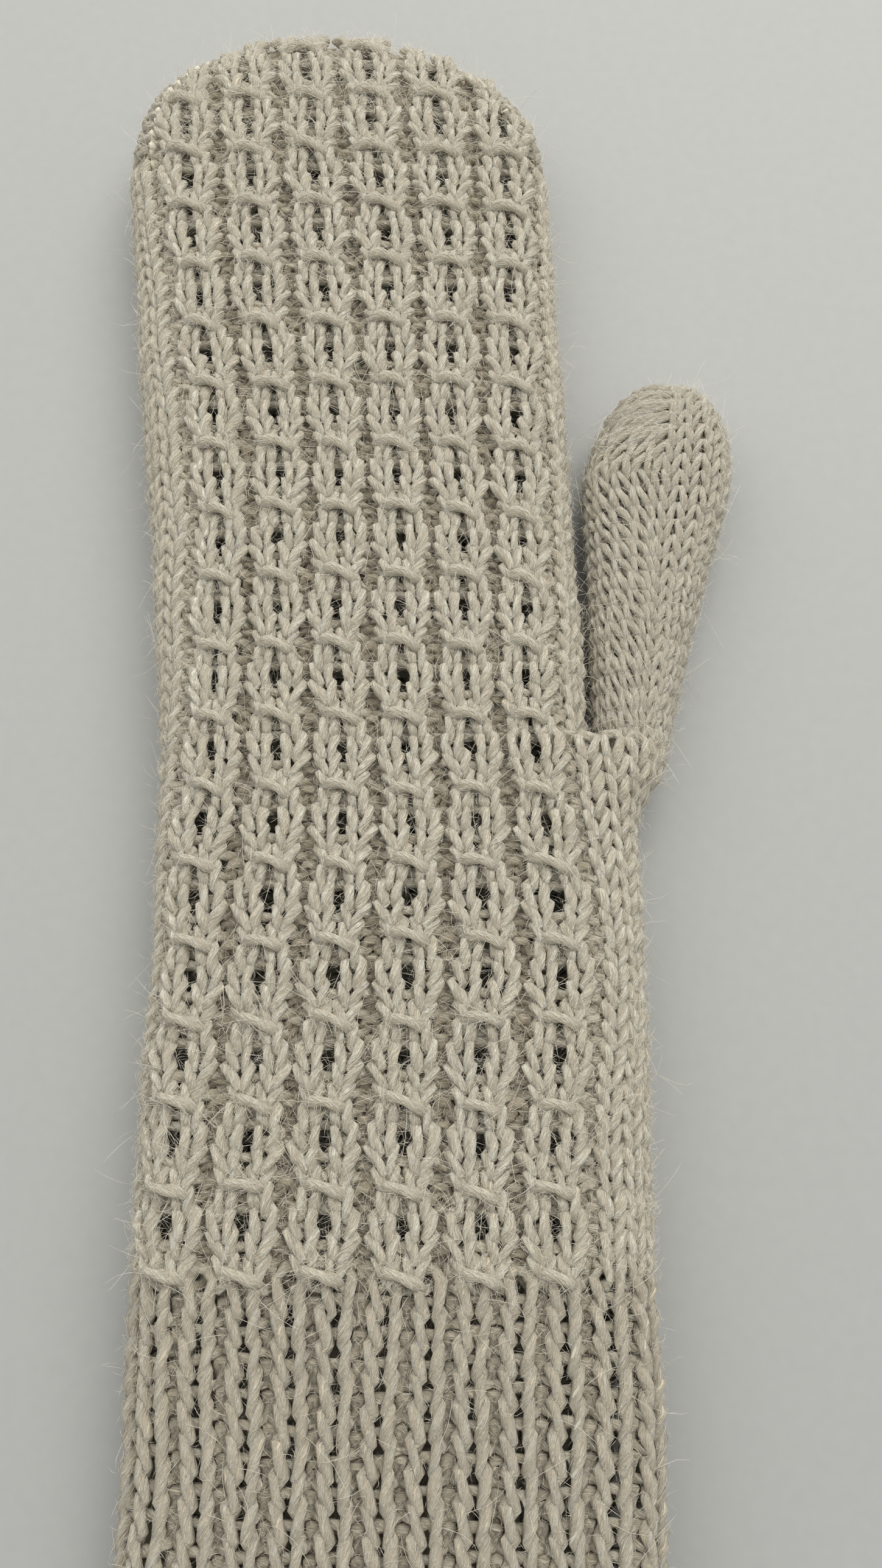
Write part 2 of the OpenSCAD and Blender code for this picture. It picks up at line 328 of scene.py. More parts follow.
def yarnPiece(name, skein):
    # closed tubes along every path, with a map that runs along and round each of them
    sides = yarn["sides"]
    verts, quads, tris, quadMap, triMap, paintedShadings = [], [], [], [], [], []
    base = 0
    j = np.arange(sides)
    k = (j + 1) % sides
    twist, mapLength = 2 * math.pi / yarn["turnLength"], yarn["mapLength"]
    for points, outs, radii, paintedShading in zip(skein.points, skein.outs, skein.radii, skein.paintedShadings):
        rings, length = tubeAlong(points, outs, radii, sides, yarn["lobe"], twist)
        n = len(points)
        verts += [rings.reshape(-1, 3), points[:1], points[-1:]]
        paintedShadings += [np.repeat(paintedShading, sides), paintedShading[:1], paintedShading[-1:]]
        ring = base + np.arange(n - 1)[:, None] * sides
        quads.append(np.stack([ring + j, ring + k, ring + k + sides, ring + j + sides], -1).reshape(-1, 4))
        starts, ends = length[:-1, None] / mapLength, length[1:, None] / mapLength
        s, t = (np.broadcast_to(at, (n - 1, sides)) for at in (starts, ends))
        a, b = (np.broadcast_to(at / sides, (n - 1, sides)) for at in (j, j + 1))
        corners = [np.stack(pair, -1) for pair in ((s, a), (s, b), (t, b), (t, a))]
        quadMap.append(np.stack(corners, 2).reshape(-1, 2))
        first, last, end = base + n * sides, base + n * sides + 1, base + (n - 1) * sides
        tris.append(np.stack([first + 0 * j, k + base, j + base], -1))
        tris.append(np.stack([last + 0 * j, j + end, k + end], -1))
        for at in (0, length[-1] / mapLength):
            triMap.append(np.repeat(np.stack([at + 0 * j, j / sides], -1), 3, axis=0))
        base += n * sides + 2
    piece = meshOf(name, *(np.concatenate(part) for part in (verts, quads, tris, paintedShadings)))
    yarnMap = piece.data.uv_layers.new(name="yarnMap")
    yarnMap.data.foreach_set("uv", np.concatenate(quadMap + triMap).astype(np.float32).ravel())
    return piece


# ---------- stitches ----------
stitch = {
    "loopHeight": 0.90,
    "slants": (0.245, 0.245),
    "depth": 0.84,
    # how strongly painted shade and painted light follow each loop's depth
    "depthPaintedShading": 0.22,
    "sideJitter": 0.12,
    "rowJitter": 0.09,
    "heightJitter": 0.05,
}


def knit(u, width, face=1, lift=0.0, paintedShading=0.0, feet=(0.0, 0.0), slants=stitch["slants"], spread=0.0):
    # one stitch: its place round the tube, its width, knit (1) or purl (-1), how proud it stands,
    # its painted light or shade, how far its two feet shift, how much its two legs slant, and how far
    # apart they are
    return (u, width, face, lift, paintedShading, feet[0], feet[1], slants[0], slants[1], spread)


def knitRow(skein, surface, row, v, rowHeight, thin=1.0, warp=None):
    row = np.array(row, float)
    turn = -math.pi + 2 * math.pi * (np.arange(yarn["samples"]) + 0.5) / yarn["samples"]
    values = (row[:, [k]] for k in range(row.shape[1]))
    u0, width, face, lift, paintedShading, footLeft, footRight, slantLeft, slantRight, spread = values
    count = len(row)
    slant = np.where(turn < 0, slantLeft, slantRight)
    high = stitch["loopHeight"] * rowHeight * (1 + rng.normal(0, stitch["heightJitter"], (count, 1)))
    u = u0 + rng.normal(0, stitch["sideJitter"], (count, 1))
    u = u + width * turn / (2 * math.pi) + slant * width * np.sin(2 * turn) + spread * np.sin(turn)
    nearFoot = np.clip((np.abs(turn) - math.pi / 2) / (math.pi / 2), 0, 1)
    nearFoot = nearFoot * nearFoot * (3 - 2 * nearFoot)
    y = v + rng.normal(0, stitch["rowJitter"], (count, 1)) + high * np.cos(turn)
    y = y + np.where(turn < 0, footLeft, footRight) * nearFoot
    # a foot between a knit and a purl stitch passes through the fabric's middle
    alike = (face[1:, 0] == face[:-1, 0]).astype(float)
    alike = np.where(turn < 0, np.append(1, alike)[:, None], np.append(alike, 1)[:, None])
    alike = np.where(np.abs(turn) > 3 * math.pi / 4, alike, 1)
    n = -stitch["depth"] * face * np.cos(2 * turn) * alike + lift
    slub = 1 + yarn["slub"] * np.sin(u / yarn["slubLength"] + yarn["slubStep"] * v)
    slub = slub + rng.normal(0, yarn["grain"], u.shape)
    # sunk parts of each loop are painted darker and proud parts lighter: painted shade and painted light
    # by depth
    shade = paintedShading + stitch["depthPaintedShading"] * (n - lift) / stitch["depth"]
    if warp is not None:
        u = warp(u, y)
    points, outs = fabricPoint(surface, u.ravel(), y.ravel(), n.ravel())
    skein.add(points, outs, (yarn["radius"] * thin * slub).ravel(), shade.ravel())


# ---------- the eyelet-cable back, its side bands and the plain palm ----------
fabric = {
    "rowHeight": (shape["crown"] - shape["wrist"]) / 64.6,
    "bodyRows": 64,
    "repeat": 4,
    "columns": 6,
    "stationY": (-64.0, -35.0, -4.0, 17.0, 42.0, 73.0, 106.0, 124.0),
    "stationSpacing": (11.7, 11.8, 11.0, 10.45, 10.4, 11.0, 11.8, 12.3),
    "stationMiddle": (-8.1, -6.7, -6.9, -8.0, -8.3, -10.4, -13.2, -15.0),
    "nominalSpacing": 12.3,
    "waleMiddle": 2.72,
    "waleWidth": 4.2,
    "outerSlant": (0.29, 0.29, 0.27, 0.27),
    "innerSlant": (0.27, 0.25, 0.13, 0.15),
    "innerFoot": (0.0, 0.0, -0.4, 1.9),
    "cableLift": (0.2, 0.5, 0.65, 0.4),
    # the raised cables are painted a little lighter, as painted light
    "cablePaintedLight": 0.08,
    "waist": 0.20,
    "thick": 1.12,
    "widestPhase": 2.3,
    "gutterEdge": 1.0,
    "gutterDepth": -1.9,
    # the sunk gutters are painted much darker, as painted shade
    "gutterPaintedShade": -1.3,
    "edgeShare": 0.45,
    "ownEdge": 0.3,
    "plainStitches": 26,
    "gussetStitch": 4.0,
    "gussetGirth": 4,
    "turnAt": 4,
}
cable = {
    "reach": 3.7,
    "reachJitter": 0.05,
    "slope": 0.95,
    "slopeJitter": 0.3,
    "droop": 1.1,
    "droopFrom": 0.55,
    "hookFrom": 0.75,
    "bow": 0.2,
    "placeJitter": 0.15,
    "height": 2.2,
    "under": 3.2,
    "phase": 0.22,
    "thick": 1.15,
    "taper": 0.12,
    # the bar is painted lighter as painted light, and its tucked-in ends darker as painted shade
    "paintedShading": 0.25,
    "endPaintedShade": 0.4,
    "steps": 15,
}


def columnSpacing(y):
    return np.interp(y, fabric["stationY"], fabric["stationSpacing"])


def columnShift(y):
    # the columns run straight over the thumb's crotch, where the tube's own middle jumps
    tube = cuffTube if y < shape["thumb"] else handTube
    return np.interp(y, fabric["stationY"], fabric["stationMiddle"]) - tube(y)[0]


def columnPlaces(y):
    middle = (fabric["columns"] - 1) / 2
    return [columnShift(y) + (k - middle) * columnSpacing(y) for k in range(fabric["columns"])]


def barrel(v):
    # cables are drawn in by their slipped stitches and swell between them
    phase = (v - shape["wrist"]) / fabric["rowHeight"]
    turn = 2 * math.pi * (phase - fabric["widestPhase"]) / fabric["repeat"]
    return 1 + fabric["waist"] * np.cos(turn)


def gutterStitch(u, width, depth):
    # the sunk purl stitch between two cables, painted darker as painted shade
    return knit(u, width, -1, depth * fabric["gutterDepth"], depth * fabric["gutterPaintedShade"])


def cableStitches(y, v, phase, tube=handTube):
    # the six cables and the purl gutters between them, left to right
    spacing, columns = columnSpacing(y), columnPlaces(y)
    size = spacing / fabric["nominalSpacing"]
    middle, width = fabric["waleMiddle"] * size, fabric["waleWidth"] * size
    lift, foot = fabric["cableLift"][phase], fabric["innerFoot"][phase]
    slants = fabric["outerSlant"][phase], fabric["innerSlant"][phase]
    reach = (middle + width / 2) * float(barrel(v))
    left = columns[0] - spacing / 2 - fabric["gutterEdge"]
    right = columns[-1] + spacing / 2 + fabric["gutterEdge"]
    row = []
    for k, column in enumerate(columns):
        start = left if k == 0 else columns[k - 1] + reach
        gutter = column - reach - start
        row.append(gutterStitch(start + gutter / 2, gutter, fabric["edgeShare"] if k == 0 else 1))
        row.append(knit(column - middle, width, 1, lift, fabric["cablePaintedLight"], (0, foot), slants))
        row.append(knit(column + middle, width, 1, lift, fabric["cablePaintedLight"], (foot, 0), slants[::-1]))
    gutter = right - columns[-1] - reach
    row.append(gutterStitch(right - gutter / 2, gutter, fabric["edgeShare"]))

    def warp(u, at):
        # squeezes each cable towards its own middle, and leaves the gutters and side bands alone
        u = u + tube(y)[0] - tube(at)[0] if tube is cuffTube else u
        place = np.clip(np.round((u - columns[0]) / spacing), 0, fabric["columns"] - 1)
        nearest = place * spacing + columns[0]
        off, edge = u - nearest, fabric["ownEdge"]
        own = np.clip((middle + width / 2 + edge - np.abs(off)) / (2 * edge), 0, 1)
        return nearest + off * (1 + (barrel(at) - 1) * own)

    return row, columns, left, right, warp


def plainStitches(tube, y, left, right):
    # knit stitches from the cables' right edge round the palm to their left edge, with the thumb's own
    extra = fabric["gussetGirth"] * flared(y) if tube is cuffTube else 0.0
    width = (girth(tube, y) - extra - (right - left)) / fabric["plainStitches"]
    turnAt = fabric["turnAt"]
    row = [knit(right + (i + 0.5) * width, width) for i in range(turnAt)]
    start = right + turnAt * width
    more = int(round(extra / fabric["gussetStitch"]))
    row += [knit(start + (i + 0.5) * extra / more, extra / more) for i in range(more)]
    start += extra
    row += [knit(start + (i + 0.5) * width, width) for i in range(fabric["plainStitches"] - turnAt)]
    return row


def moved(row, by):
    return [(s[0] + by,) + s[1:] for s in row]


def slipBar(skein, surface, column, v, size):
    # the slipped stitch across a cable's waist, lower on the thumb side, where it turns into a leg
    t = np.linspace(-1, 1, cable["steps"])
    reach = cable["reach"] * size * (1 + rng.normal(0, cable["reachJitter"]))
    u = column + reach * t - 0.5 * reach * np.clip(t - cable["hookFrom"], 0, 1)
    slope = cable["slope"] * (1 + rng.normal(0, cable["slopeJitter"]))
    y = v - slope * t - cable["droop"] * np.clip(t - cable["droopFrom"], 0, 1)
    y = y + cable["bow"] * np.cos(math.pi * t) + rng.normal(0, cable["placeJitter"])
    n = cable["height"] - cable["under"] * np.abs(t) ** 4
    points, outs = fabricPoint(surface, u, y, n)
    thick = yarn["radius"] * cable["thick"] * (1 - cable["taper"] * t * t)
    # painted light along the bar, fading to painted shade at its tucked-in ends
    skein.add(points, outs, thick, cable["paintedShading"] - cable["endPaintedShade"] * np.abs(t) ** 3)


def bodyRows(back, palm, first, last):
    for j in range(first, last):
        y = shape["wrist"] + (j + 0.5) * fabric["rowHeight"]
        low = y < shape["thumb"]
        surface, tube = (lowerSurface, cuffTube) if low else (handSurface, handTube)
        cables, columns, left, right, warp = cableStitches(y, y, j % fabric["repeat"], tube)
        plain = plainStitches(tube, y, left, right)
        turnAt, whole = fabric["turnAt"], girth(tube, y)
        row = moved(plain[-turnAt:], -whole) + cables + plain[:turnAt]
        knitRow(back, surface, row, y, fabric["rowHeight"], fabric["thick"], warp)
        knitRow(palm, surface, plain[turnAt:-turnAt], y, fabric["rowHeight"])
        if j % fabric["repeat"] == 0:
            at = shape["wrist"] + (j + cable["phase"]) * fabric["rowHeight"]
            for column in columns:
                slipBar(back, surface, column, at, columnSpacing(y) / fabric["nominalSpacing"])


# the body is made in three lengths, so that each piece crosses one fold only
lengths = {"hand": (0, 13), "knuckle": (13, 44), "finger": (44, fabric["bodyRows"])}
skeins = {}
for part, (first, last) in lengths.items():
    skeins[part + "_back"], skeins[part + "_palm"] = Skein(), Skein()
    bodyRows(skeins[part + "_back"], skeins[part + "_palm"], first, last)
    print("knitted the", part)

# ---------- rounded crown ----------
crown = {
    "rows": 15,
    "edgeStitch": 3.7,
    "edgeRow": 3.1,
    "edgeClear": 3.6,
    "barClear": 5.6,
    "edgeAcross": 5,
    "edgeReach": 1.25,
    "edgeLift": 0.1,
    "leastDeep": 3.2,
    "lastRow": 3,
    "overlap": 0.02,
    "steps": 400,
    "probe": 0.01,
}


def crownOutline(angle):
    # outermost line of the fabric's middle layer, from the little finger's side over to the thumb's side
    inset = shape["wall"] / 2
    over = np.sin(angle)
    y = shape["crown"] + (shape["tip"] - inset - shape["crown"]) * over
    middle, _, deep, _ = handTube(y, inset)
    x = middle - (shape["fingertipHalf"] - inset) * np.cos(angle)
    z = deep + shape["tipLift"] * (shape["deep"] - deep)
    return np.stack([x, y, z], -1), np.maximum(deep - inset, crown["leastDeep"])


edgeAngles = np.linspace(-crown["overlap"], math.pi + crown["overlap"], crown["steps"])
edgePoints, edgeDeep = crownOutline(edgeAngles)
edgeLength = np.concatenate([[0], np.cumsum(np.linalg.norm(np.diff(edgePoints, axis=0), axis=1))])


def crownEdgeSurface(u, v):
    # v runs along the crown's rim, and u across it from the palm to the back
    angle = np.interp(v, edgeLength, edgeAngles)
    p, deep = crownOutline(angle)
    q, _ = crownOutline(angle + crown["probe"])
    along = q - p
    along[..., 2] = 0
    along /= np.linalg.norm(along, axis=-1, keepdims=True)
    out = np.stack([-along[..., 1], along[..., 0], 0 * along[..., 0]], -1)
    turn = (-u / deep)[..., None]
    return p + deep[..., None] * ((np.cos(turn) - 1) * out + np.sin(turn) * np.array([0, 0, 1.0]))


def insideCrown(u, v):
    # distance in from the crown's rim, seen from above
    y = alongTable(v, crownLengths)
    inset = shape["wall"] / 2
    half, high = shape["fingertipHalf"] - inset, shape["tip"] - inset - shape["crown"]
    over = np.maximum(y - shape["crown"], 0) / high
    rho = np.sqrt((u / half) ** 2 + over**2)
    slope = np.sqrt((u / half**2) ** 2 + (over / high) ** 2) / np.maximum(rho, 1e-6)
    return (1 - rho) / np.maximum(slope, 1e-6)


def keptRuns(row, keep):
    runs, run = [], []
    for s, good in zip(row, keep):
        if good:
            run.append(s)
        elif run:
            runs.append(run)
            run = []
    return runs + [run] if run else runs


def crownRows(back, palm):
    for i in range(crown["rows"]):
        j = fabric["bodyRows"] + i
        v = shape["wrist"] + (j + 0.5) * fabric["rowHeight"]
        y = float(alongTable(np.array(v), crownLengths))
        if y > shape["tip"] - crown["lastRow"]:
            break
        cables, columns, left, right, warp = cableStitches(shape["crown"], v, j % fabric["repeat"])
        nominal = girth(handTube, shape["crown"])
        plain = plainStitches(handTube, shape["crown"], left, right)
        turnAt = fabric["turnAt"]
        row = moved(plain[-turnAt:], -nominal) + cables + plain[:turnAt]
        for run in keptRuns(row, [insideCrown(s[0], v) > crown["edgeClear"] for s in row]):
            knitRow(back, handSurface, run, v, fabric["rowHeight"], fabric["thick"], warp)
        if j % fabric["repeat"] == 0:
            at = v + (cable["phase"] - 0.5) * fabric["rowHeight"]
            for column in columns:
                if insideCrown(column, v) > crown["barClear"]:
                    slipBar(back, handSurface, column, at, 1)
        # the palm side is laid out about its own middle line
        whole = girth(handTube, y)
        under = moved(plain[turnAt:-turnAt], -nominal / 2)
        for run in keptRuns(under, [insideCrown(s[0], v) > crown["edgeClear"] for s in under]):
            knitRow(palm, handSurface, moved(run, whole / 2), v, fabric["rowHeight"])


def crownEdge(skein):
    rows = int(edgeLength[-1] / crown["edgeRow"])
    for i in range(rows):
        v = (i + 0.5) * edgeLength[-1] / rows
        deep = crownOutline(np.interp(v, edgeLength, edgeAngles))[1]
        reach = min(crown["edgeAcross"] / 2 * crown["edgeStitch"], deep * crown["edgeReach"])
        count = max(int(round(2 * reach / crown["edgeStitch"])), 2)
        width = 2 * reach / count
        row = [knit((k + 0.5) * width - reach, width, 1, crown["edgeLift"]) for k in range(count)]
        knitRow(skein, crownEdgeSurface, row, v, crown["edgeRow"])


for name in ("crown_back", "crown_palm", "crown_edge"):
    skeins[name] = Skein()
crownRows(skeins["crown_back"], skeins["crown_palm"])
crownEdge(skeins["crown_edge"])
print("knitted the crown")

# ---------- ribbed cuff ----------
cuff = {
    "ribs": 26,
    "rows": 17,
    "edge": 2.6,
    "purlWidth": 1.3,
    "purlDepth": -1.25,
    # the purl in each groove is painted darker, as painted shade, and the ribs a little lighter, as
    # painted light
    "purlPaintedShade": -0.6,
    "knitLift": 0.2,
    "knitPaintedLight": 0.05,
    "slants": (0.23, 0.17),
    "spread": 0.12,
    "thick": 1.18,
    "upper": 13,
}


def cuffRow(skein, j):
    # each rib is one wide knit stitch with its legs apart, and the purl between two ribs lies in a groove
    high = (shape["wrist"] - shape["edge"] - cuff["edge"]) / cuff["rows"]
    y = shape["edge"] + cuff["edge"] + (j + 0.5) * high
    pitch = girth(cuffTube, y) / cuff["ribs"]
    wide = pitch - cuff["purlWidth"]
    row = []
    for i in range(cuff["ribs"]):
        start = columnShift(shape["wrist"]) + (i - cuff["ribs"] / 2) * pitch
        middle, feet = start + pitch / 2, (0, 0)
        row.append(knit(start, cuff["purlWidth"], -1, cuff["purlDepth"], cuff["purlPaintedShade"]))
        row.append(
            knit(middle, wide, 1, cuff["knitLift"], cuff["knitPaintedLight"], feet, cuff["slants"], cuff["spread"])
        )
    knitRow(skein, cuffSurface, row, y, high, cuff["thick"])


castOn = {"up": 1.7, "wind": 0.75, "lift": 0.2, "paintedShading": 0.1, "steps": 10}


def castOnEdge(skein):
    # two strands wound round each other along the rim
    whole = girth(cuffTube, shape["edge"])
    turns = 2 * cuff["ribs"]
    t = np.linspace(0, 1, turns * castOn["steps"])
    for phase in (0, math.pi):
        angle = t * turns * 2 * math.pi + phase
        y = shape["edge"] + castOn["up"] + castOn["wind"] * np.sin(angle)
        n = castOn["wind"] * np.cos(angle) + castOn["lift"]
        points, outs = fabricPoint(cuffSurface, t * whole, y, n)
        # painted light where each strand is on top, painted shade where it passes beneath
        skein.add(points, outs, yarn["radius"], castOn["paintedShading"] * np.cos(angle))


skeins["cuff_lower"], skeins["cuff_upper"], skeins["cast_on"] = Skein(), Skein(), Skein()
for j in range(cuff["rows"]):
    cuffRow(skeins["cuff_lower" if j < cuff["upper"] else "cuff_upper"], j)
castOnEdge(skeins["cast_on"])
print("knitted the cuff")

# ---------- thumb ----------
thumb = {
    "stitches": 18,
    "leastStitches": 4,
    "rowHeight": 3.15,
    "narrow": 2.4,
    "start": -2.0,
    "endClear": 1.2,
    "thin": 0.55,
    "thinByWidth": 0.12,
}


def thumbRows(lower, tip):
    v = shape["thumb"] + thumb["start"]
    end = thumbLengths[0][-1] - thumb["endClear"]
    while v < end:
        y = float(alongTable(np.array(v), thumbLengths))
        whole = float(girth(thumbTube, y))
        count = thumb["stitches"]
        narrowing = y > shape["thumbWide"]
        while narrowing and whole / count < thumb["narrow"] and count > thumb["leastStitches"]:
            count //= 2
        width = whole / count
        row = [knit((k + 0.5) * width, width) for k in range(count)]
        thin = min(1.0, thumb["thin"] + thumb["thinByWidth"] * width)
        skein = lower if y < shape["thumbWide"] else tip
        knitRow(skein, thumbSurface, row, v, thumb["rowHeight"], thin)
        v += thumb["rowHeight"]


skeins["thumb_lower"], skeins["thumb_tip"] = Skein(), Skein()
thumbRows(skeins["thumb_lower"], skeins["thumb_tip"])
print("knitted the thumb")

# ---------- gathered ends ----------
gathered = {
    "strands": 5,
    "steps": 11,
    "apart": 0.42,
    "lean": 0.25,
    "deepShare": 0.9,
    "proud": 0.5,
    "round": 1.9,
    "drop": 0.05,
    "thin": 0.85,
    "paintedShading": 0.05,
    "crown": (4.0, 2.6),
    "thumb": (2.6, 2.2),
    "thumbLift": 1.2,
}


def gatheredEnd(skein, place, half, deep):
    # the yarn end drawn through the last stitches, as short strands over the tip
    for k in range(gathered["strands"]):
        t = np.linspace(-1, 1, gathered["steps"])
        across = (k - (gathered["strands"] - 1) / 2) * half * gathered["apart"]
        x = place[0] + across + gathered["lean"] * half * t
        z = place[2] + deep * t * gathered["deepShare"]
        bow = gathered["round"] * np.abs(t) ** 2.5 + gathered["drop"] * across**2
        y = place[1] + gathered["proud"] - bow
        points = np.stack([x, y, z], -1)
        outs = np.tile([0, 1.0, 0.05], (len(t), 1))
        # a little painted light on the proud gathered strands
        skein.add(points, outs, yarn["radius"] * gathered["thin"], gathered["paintedShading"])


skeins["crown_end"], skeins["thumb_end"] = Skein(), Skein()
tipPoint, _ = crownOutline(np.array(math.pi / 2))
gatheredEnd(skeins["crown_end"], tipPoint, *gathered["crown"])
thumbEnd = onTube(thumbTube, np.array(0.0), np.array(shape["thumbTip"] - shape["wall"] / 2))
thumbEnd[2] = shape["thumbDeep"] * shape["tipLift"] + gathered["thumbLift"]
gatheredEnd(skeins["thumb_end"], thumbEnd, *gathered["thumb"])

# ---------- woven-in yarn ends ----------
woven = {"steps": 40, "waves": 26, "across": 0.5, "up": 0.25, "thin": 0.9, "paintedShading": -0.1}


def wovenEnd(skein, tail):
    low, high = (np.array(c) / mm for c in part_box(tail))
    t = np.linspace(0, 1, woven["steps"])
    points = low + (high - low) * np.stack([t, t, 0 * t + 0.5], -1)
    points[:, 0] += woven["across"] * np.sin(t * woven["waves"])
    points[:, 2] += woven["up"] * np.cos(t * woven["waves"])
    outs = np.tile([0, 0, 1.0], (woven["steps"], 1))
    # the woven-in ends are painted a little darker, as painted shade
    skein.add(points, outs, yarn["radius"] * woven["thin"], woven["paintedShading"])


for tail in ("cast_on_tail", "crown_tail", "thumb_tail"):
    skeins[tail + "_yarn"] = Skein()
    wovenEnd(skeins[tail + "_yarn"], tail)

# ---------- loose fibres ----------
fuzz = {
    "radius": 0.038,
    "rootWidth": 1.1,
    "narrowing": 0.35,
    "most": 27000,
    "root": 0.86,
    "around": 0.95,
    "sink": 1.3,
    "arch": 0.12,
    "lowest": 0.02,
    # fibres are lifted towards painted light, and follow the painted shade of the yarn they grow from
    "shade": 0.3,
    "shadeByPaintedShading": 0.5,
    "shadeJitter": 0.2,
    "grey": 0.012,
    "greyShade": -1.6,
}
# each kind's part of the fibres, lengths, rises, turn from the yarn, curl, drift over the fabric and bends
fibreKinds = {
    "coat": {
        "part": 0.46, "long": (1.2, 3.4), "rise": (0.05, 0.40), "turn": 0.7,
        "curl": 0.35, "drift": 0.0, "bends": 1,
    },
    "web": {
        "part": 0.50, "long": (1.8, 5.0), "rise": (-0.25, 0.22), "turn": 3.0,
        "curl": 0.40, "drift": 0.5, "bends": 1,
    },
    "stray": {
        "part": 0.04, "long": (4.0, 11.0), "rise": (0.0, 0.30), "turn": 3.0,
        "curl": 0.80, "drift": 0.6, "bends": 3,
    },
}


def needles(path, radius):
    # thin closed three-sided fibres, one along each row of points
    count, inner = len(path[0]), len(path) - 2
    span = unit(path[-1] - path[0])
    across = unit(np.cross(span, [0.31, 0.17, 0.93]))
    upright = np.cross(across, span)
    rings = []
    for k in range(1, inner + 1):
        thick = radius * (fuzz["rootWidth"] - fuzz["narrowing"] * k / inner)
        for angle in (0, 2 * math.pi / 3, 4 * math.pi / 3):
            rings.append(path[k] + thick * (math.cos(angle) * upright + math.sin(angle) * across))
    each = 2 + 3 * inner
    verts = np.stack([path[0], path[-1]] + rings, 1).reshape(-1, 3)
    base = each * np.arange(count)[:, None, None]
    last = each - 3
    order = [(0, 1), (1, 2), (2, 0)]
    quads = [[at + a, at + b, at + 3 + b, at + 3 + a] for at in range(2, last, 3) for a, b in order]
    quads = (base + np.array(quads)).reshape(-1, 4) if quads else np.zeros((0, 4), int)
    ends = [[0, 2 + b, 2 + a] for a, b in order] + [[1, last + a, last + b] for a, b in order]
    tris = base + np.array(ends)
    return verts, quads, tris.reshape(-1, 3)


def fuzzPiece(name, skein, amount):
    # a short coat along the yarn, a web across the holes and grooves, and a few long stray hairs
    gatheredYarn = (skein.points, skein.outs, skein.paintedShadings, skein.radii)
    points, outs, paintedShadings, radii = (np.concatenate(part) for part in gatheredYarn)
    ways = np.concatenate([np.gradient(path, axis=0) for path in skein.points])
    verts, quads, tris, shades, base = [], [], [], [], 0
    for kind in fibreKinds.values():
        (short, long), bends, drift = kind["long"], kind["bends"], kind["drift"]
        count = max(int(amount * kind["part"]), 1)
        pick = rng.integers(0, len(points), count)
        out, way = outs[pick], unit(ways[pick])
        side = unit(np.cross(way, out))
        around = rng.normal(0, fuzz["around"], (count, 1)) * (drift == 0)
        away = np.cos(around) * unit(np.cross(side, way)) + np.sin(around) * side
        over = np.cross(way, away)
        turn = rng.normal(0, 1, (count, 1)) * kind["turn"]
        ahead = (np.cos(turn) * way + np.sin(turn) * over) * rng.choice([-1, 1], (count, 1))
        bend = rng.normal(0, 1, (count, 1)) * kind["curl"] * np.cross(ahead, away)
        reach = short + (long - short) * rng.random((count, 1)) ** 2
        rise = rng.uniform(*kind["rise"], (count, 1))
        start = points[pick] + away * radii[pick][:, None] * fuzz["root"]
        start += drift * (rng.normal(0, 1, (count, 1)) * way + rng.normal(0, 1, (count, 1)) * over)
        start -= (drift > 0) * away * rng.uniform(0, fuzz["sink"], (count, 1))
        path = []
        for t in np.linspace(0, 1, bends + 2):
            up = rise * reach * t + fuzz["arch"] * math.sin(math.pi * t)
            sideways = 1.2 * t * (1 - t) + 0.5 * t * t
            path.append(start + away * up + ahead * reach * t + bend * reach * sideways)
        v, q, f = needles(path, fuzz["radius"])
        v[:, 2] = np.maximum(v[:, 2], fuzz["lowest"])
        # each fibre takes the painted light and shade of its yarn, lifted a little towards painted light
        shade = fuzz["shade"] + fuzz["shadeByPaintedShading"] * paintedShadings[pick]
        shade = np.clip(shade + rng.normal(0, fuzz["shadeJitter"], count), -0.6, 1)
        shade[rng.random(count) < fuzz["grey"]] = fuzz["greyShade"]
        verts.append(v)
        quads.append(q + base)
        tris.append(f + base)
        shades.append(np.repeat(shade, 2 + 3 * bends))
        base += len(v)
    return meshOf(name, *(np.concatenate(part) for part in (verts, quads, tris, shades)))


# ---------- materials ----------
def socketOf(group, name, kind, direction, value=None):
    made = group.interface.new_socket(name=name, in_out=direction, socket_type=kind)
    if value is not None:
        made.default_value = value
    return made


def node(tree, kind, **settings):
    made = tree.nodes.new(kind)
    for key, value in settings.items():
        setattr(made, key, value)
    return made


def maths(tree, operation, a, b=None, clamp=False):
    made = node(tree, "ShaderNodeMath", operation=operation, use_clamp=clamp)
    for slot, value in enumerate((a, b)):
        if value is None:
            continue
        if isinstance(value, (int, float)):
            made.inputs[slot].default_value = value
        else:
            tree.links.new(value, made.inputs[slot])
    return made.outputs[0]


